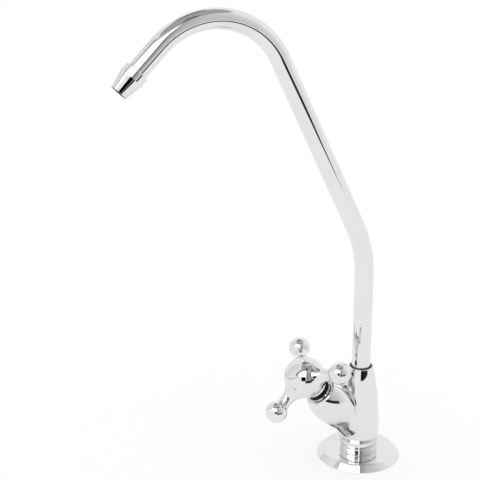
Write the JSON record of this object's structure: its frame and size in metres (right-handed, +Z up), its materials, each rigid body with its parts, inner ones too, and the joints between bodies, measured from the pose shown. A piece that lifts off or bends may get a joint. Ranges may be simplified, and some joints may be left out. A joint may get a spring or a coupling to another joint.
{
  "type": "drinking water filter tap",
  "caption": "Chromed deck-mounted filter tap with a bent swivelling tube spout and a slanted quarter-turn valve turned by a ball-armed handle",
  "frame": {"origin": "centre of the foot flange where it stands on the worktop, on the column's axis", "axes": "+Z up along the column, -Y to the front where the spout and the valve point, +X to the right of a person who stands in front of it"},
  "size_m": [0.0519, 0.1557, 0.3053],
  "materials": {
    "body_chrome": "polished chrome plate",
    "handle_chrome": "polished chrome plate",
    "spout_chrome": "polished chrome plate",
    "brass": "turned",
    "steel": "plain",
    "rubber": "matt",
    "black_plastic": "matt",
    "white_plastic": "smooth",
    "ceramic": "polished"
  },
  "bodies": {
    "tap": {"body": "body_chrome", "base_flange": "body_chrome", "flange_gasket": "rubber", "spacer_collar": "body_chrome", "threaded_shank": "body_chrome", "locating_washer": "black_plastic", "lock_washer": "steel", "mounting_nut": "brass", "inlet_nut": "brass", "inlet_ferrule": "white_plastic", "cartridge_housing": "brass", "housing_seal": "rubber", "bonnet_nut": "body_chrome", "seat_seal": "rubber", "fixed_disc": "ceramic", "spout_bush": "black_plastic"},
    "handle": {"handle": "handle_chrome", "handle_cap": "handle_chrome", "handle_screw": "steel", "valve_stem": "brass", "stem_oring": "rubber", "stem_clip": "steel", "moving_disc": "ceramic"},
    "spout": {"spout_tube": "spout_chrome", "spout_nozzle": "spout_chrome", "spout_spigot": "brass", "spout_orings": "rubber", "spout_snap_ring": "steel"}
  },
  "joints": [
    {"name": "spout_swivel", "type": "hinge", "parent": "tap", "child": "spout", "pos_m": [0, 0, 0.05], "axis": [0, 0, 1], "continuous": true},
    {"name": "handle_turn", "type": "hinge", "parent": "tap", "child": "handle", "pos_m": [0, 0, 0.0153], "axis": [0, -0.6704, 0.742], "range_deg": [0, 90]}
  ]
}
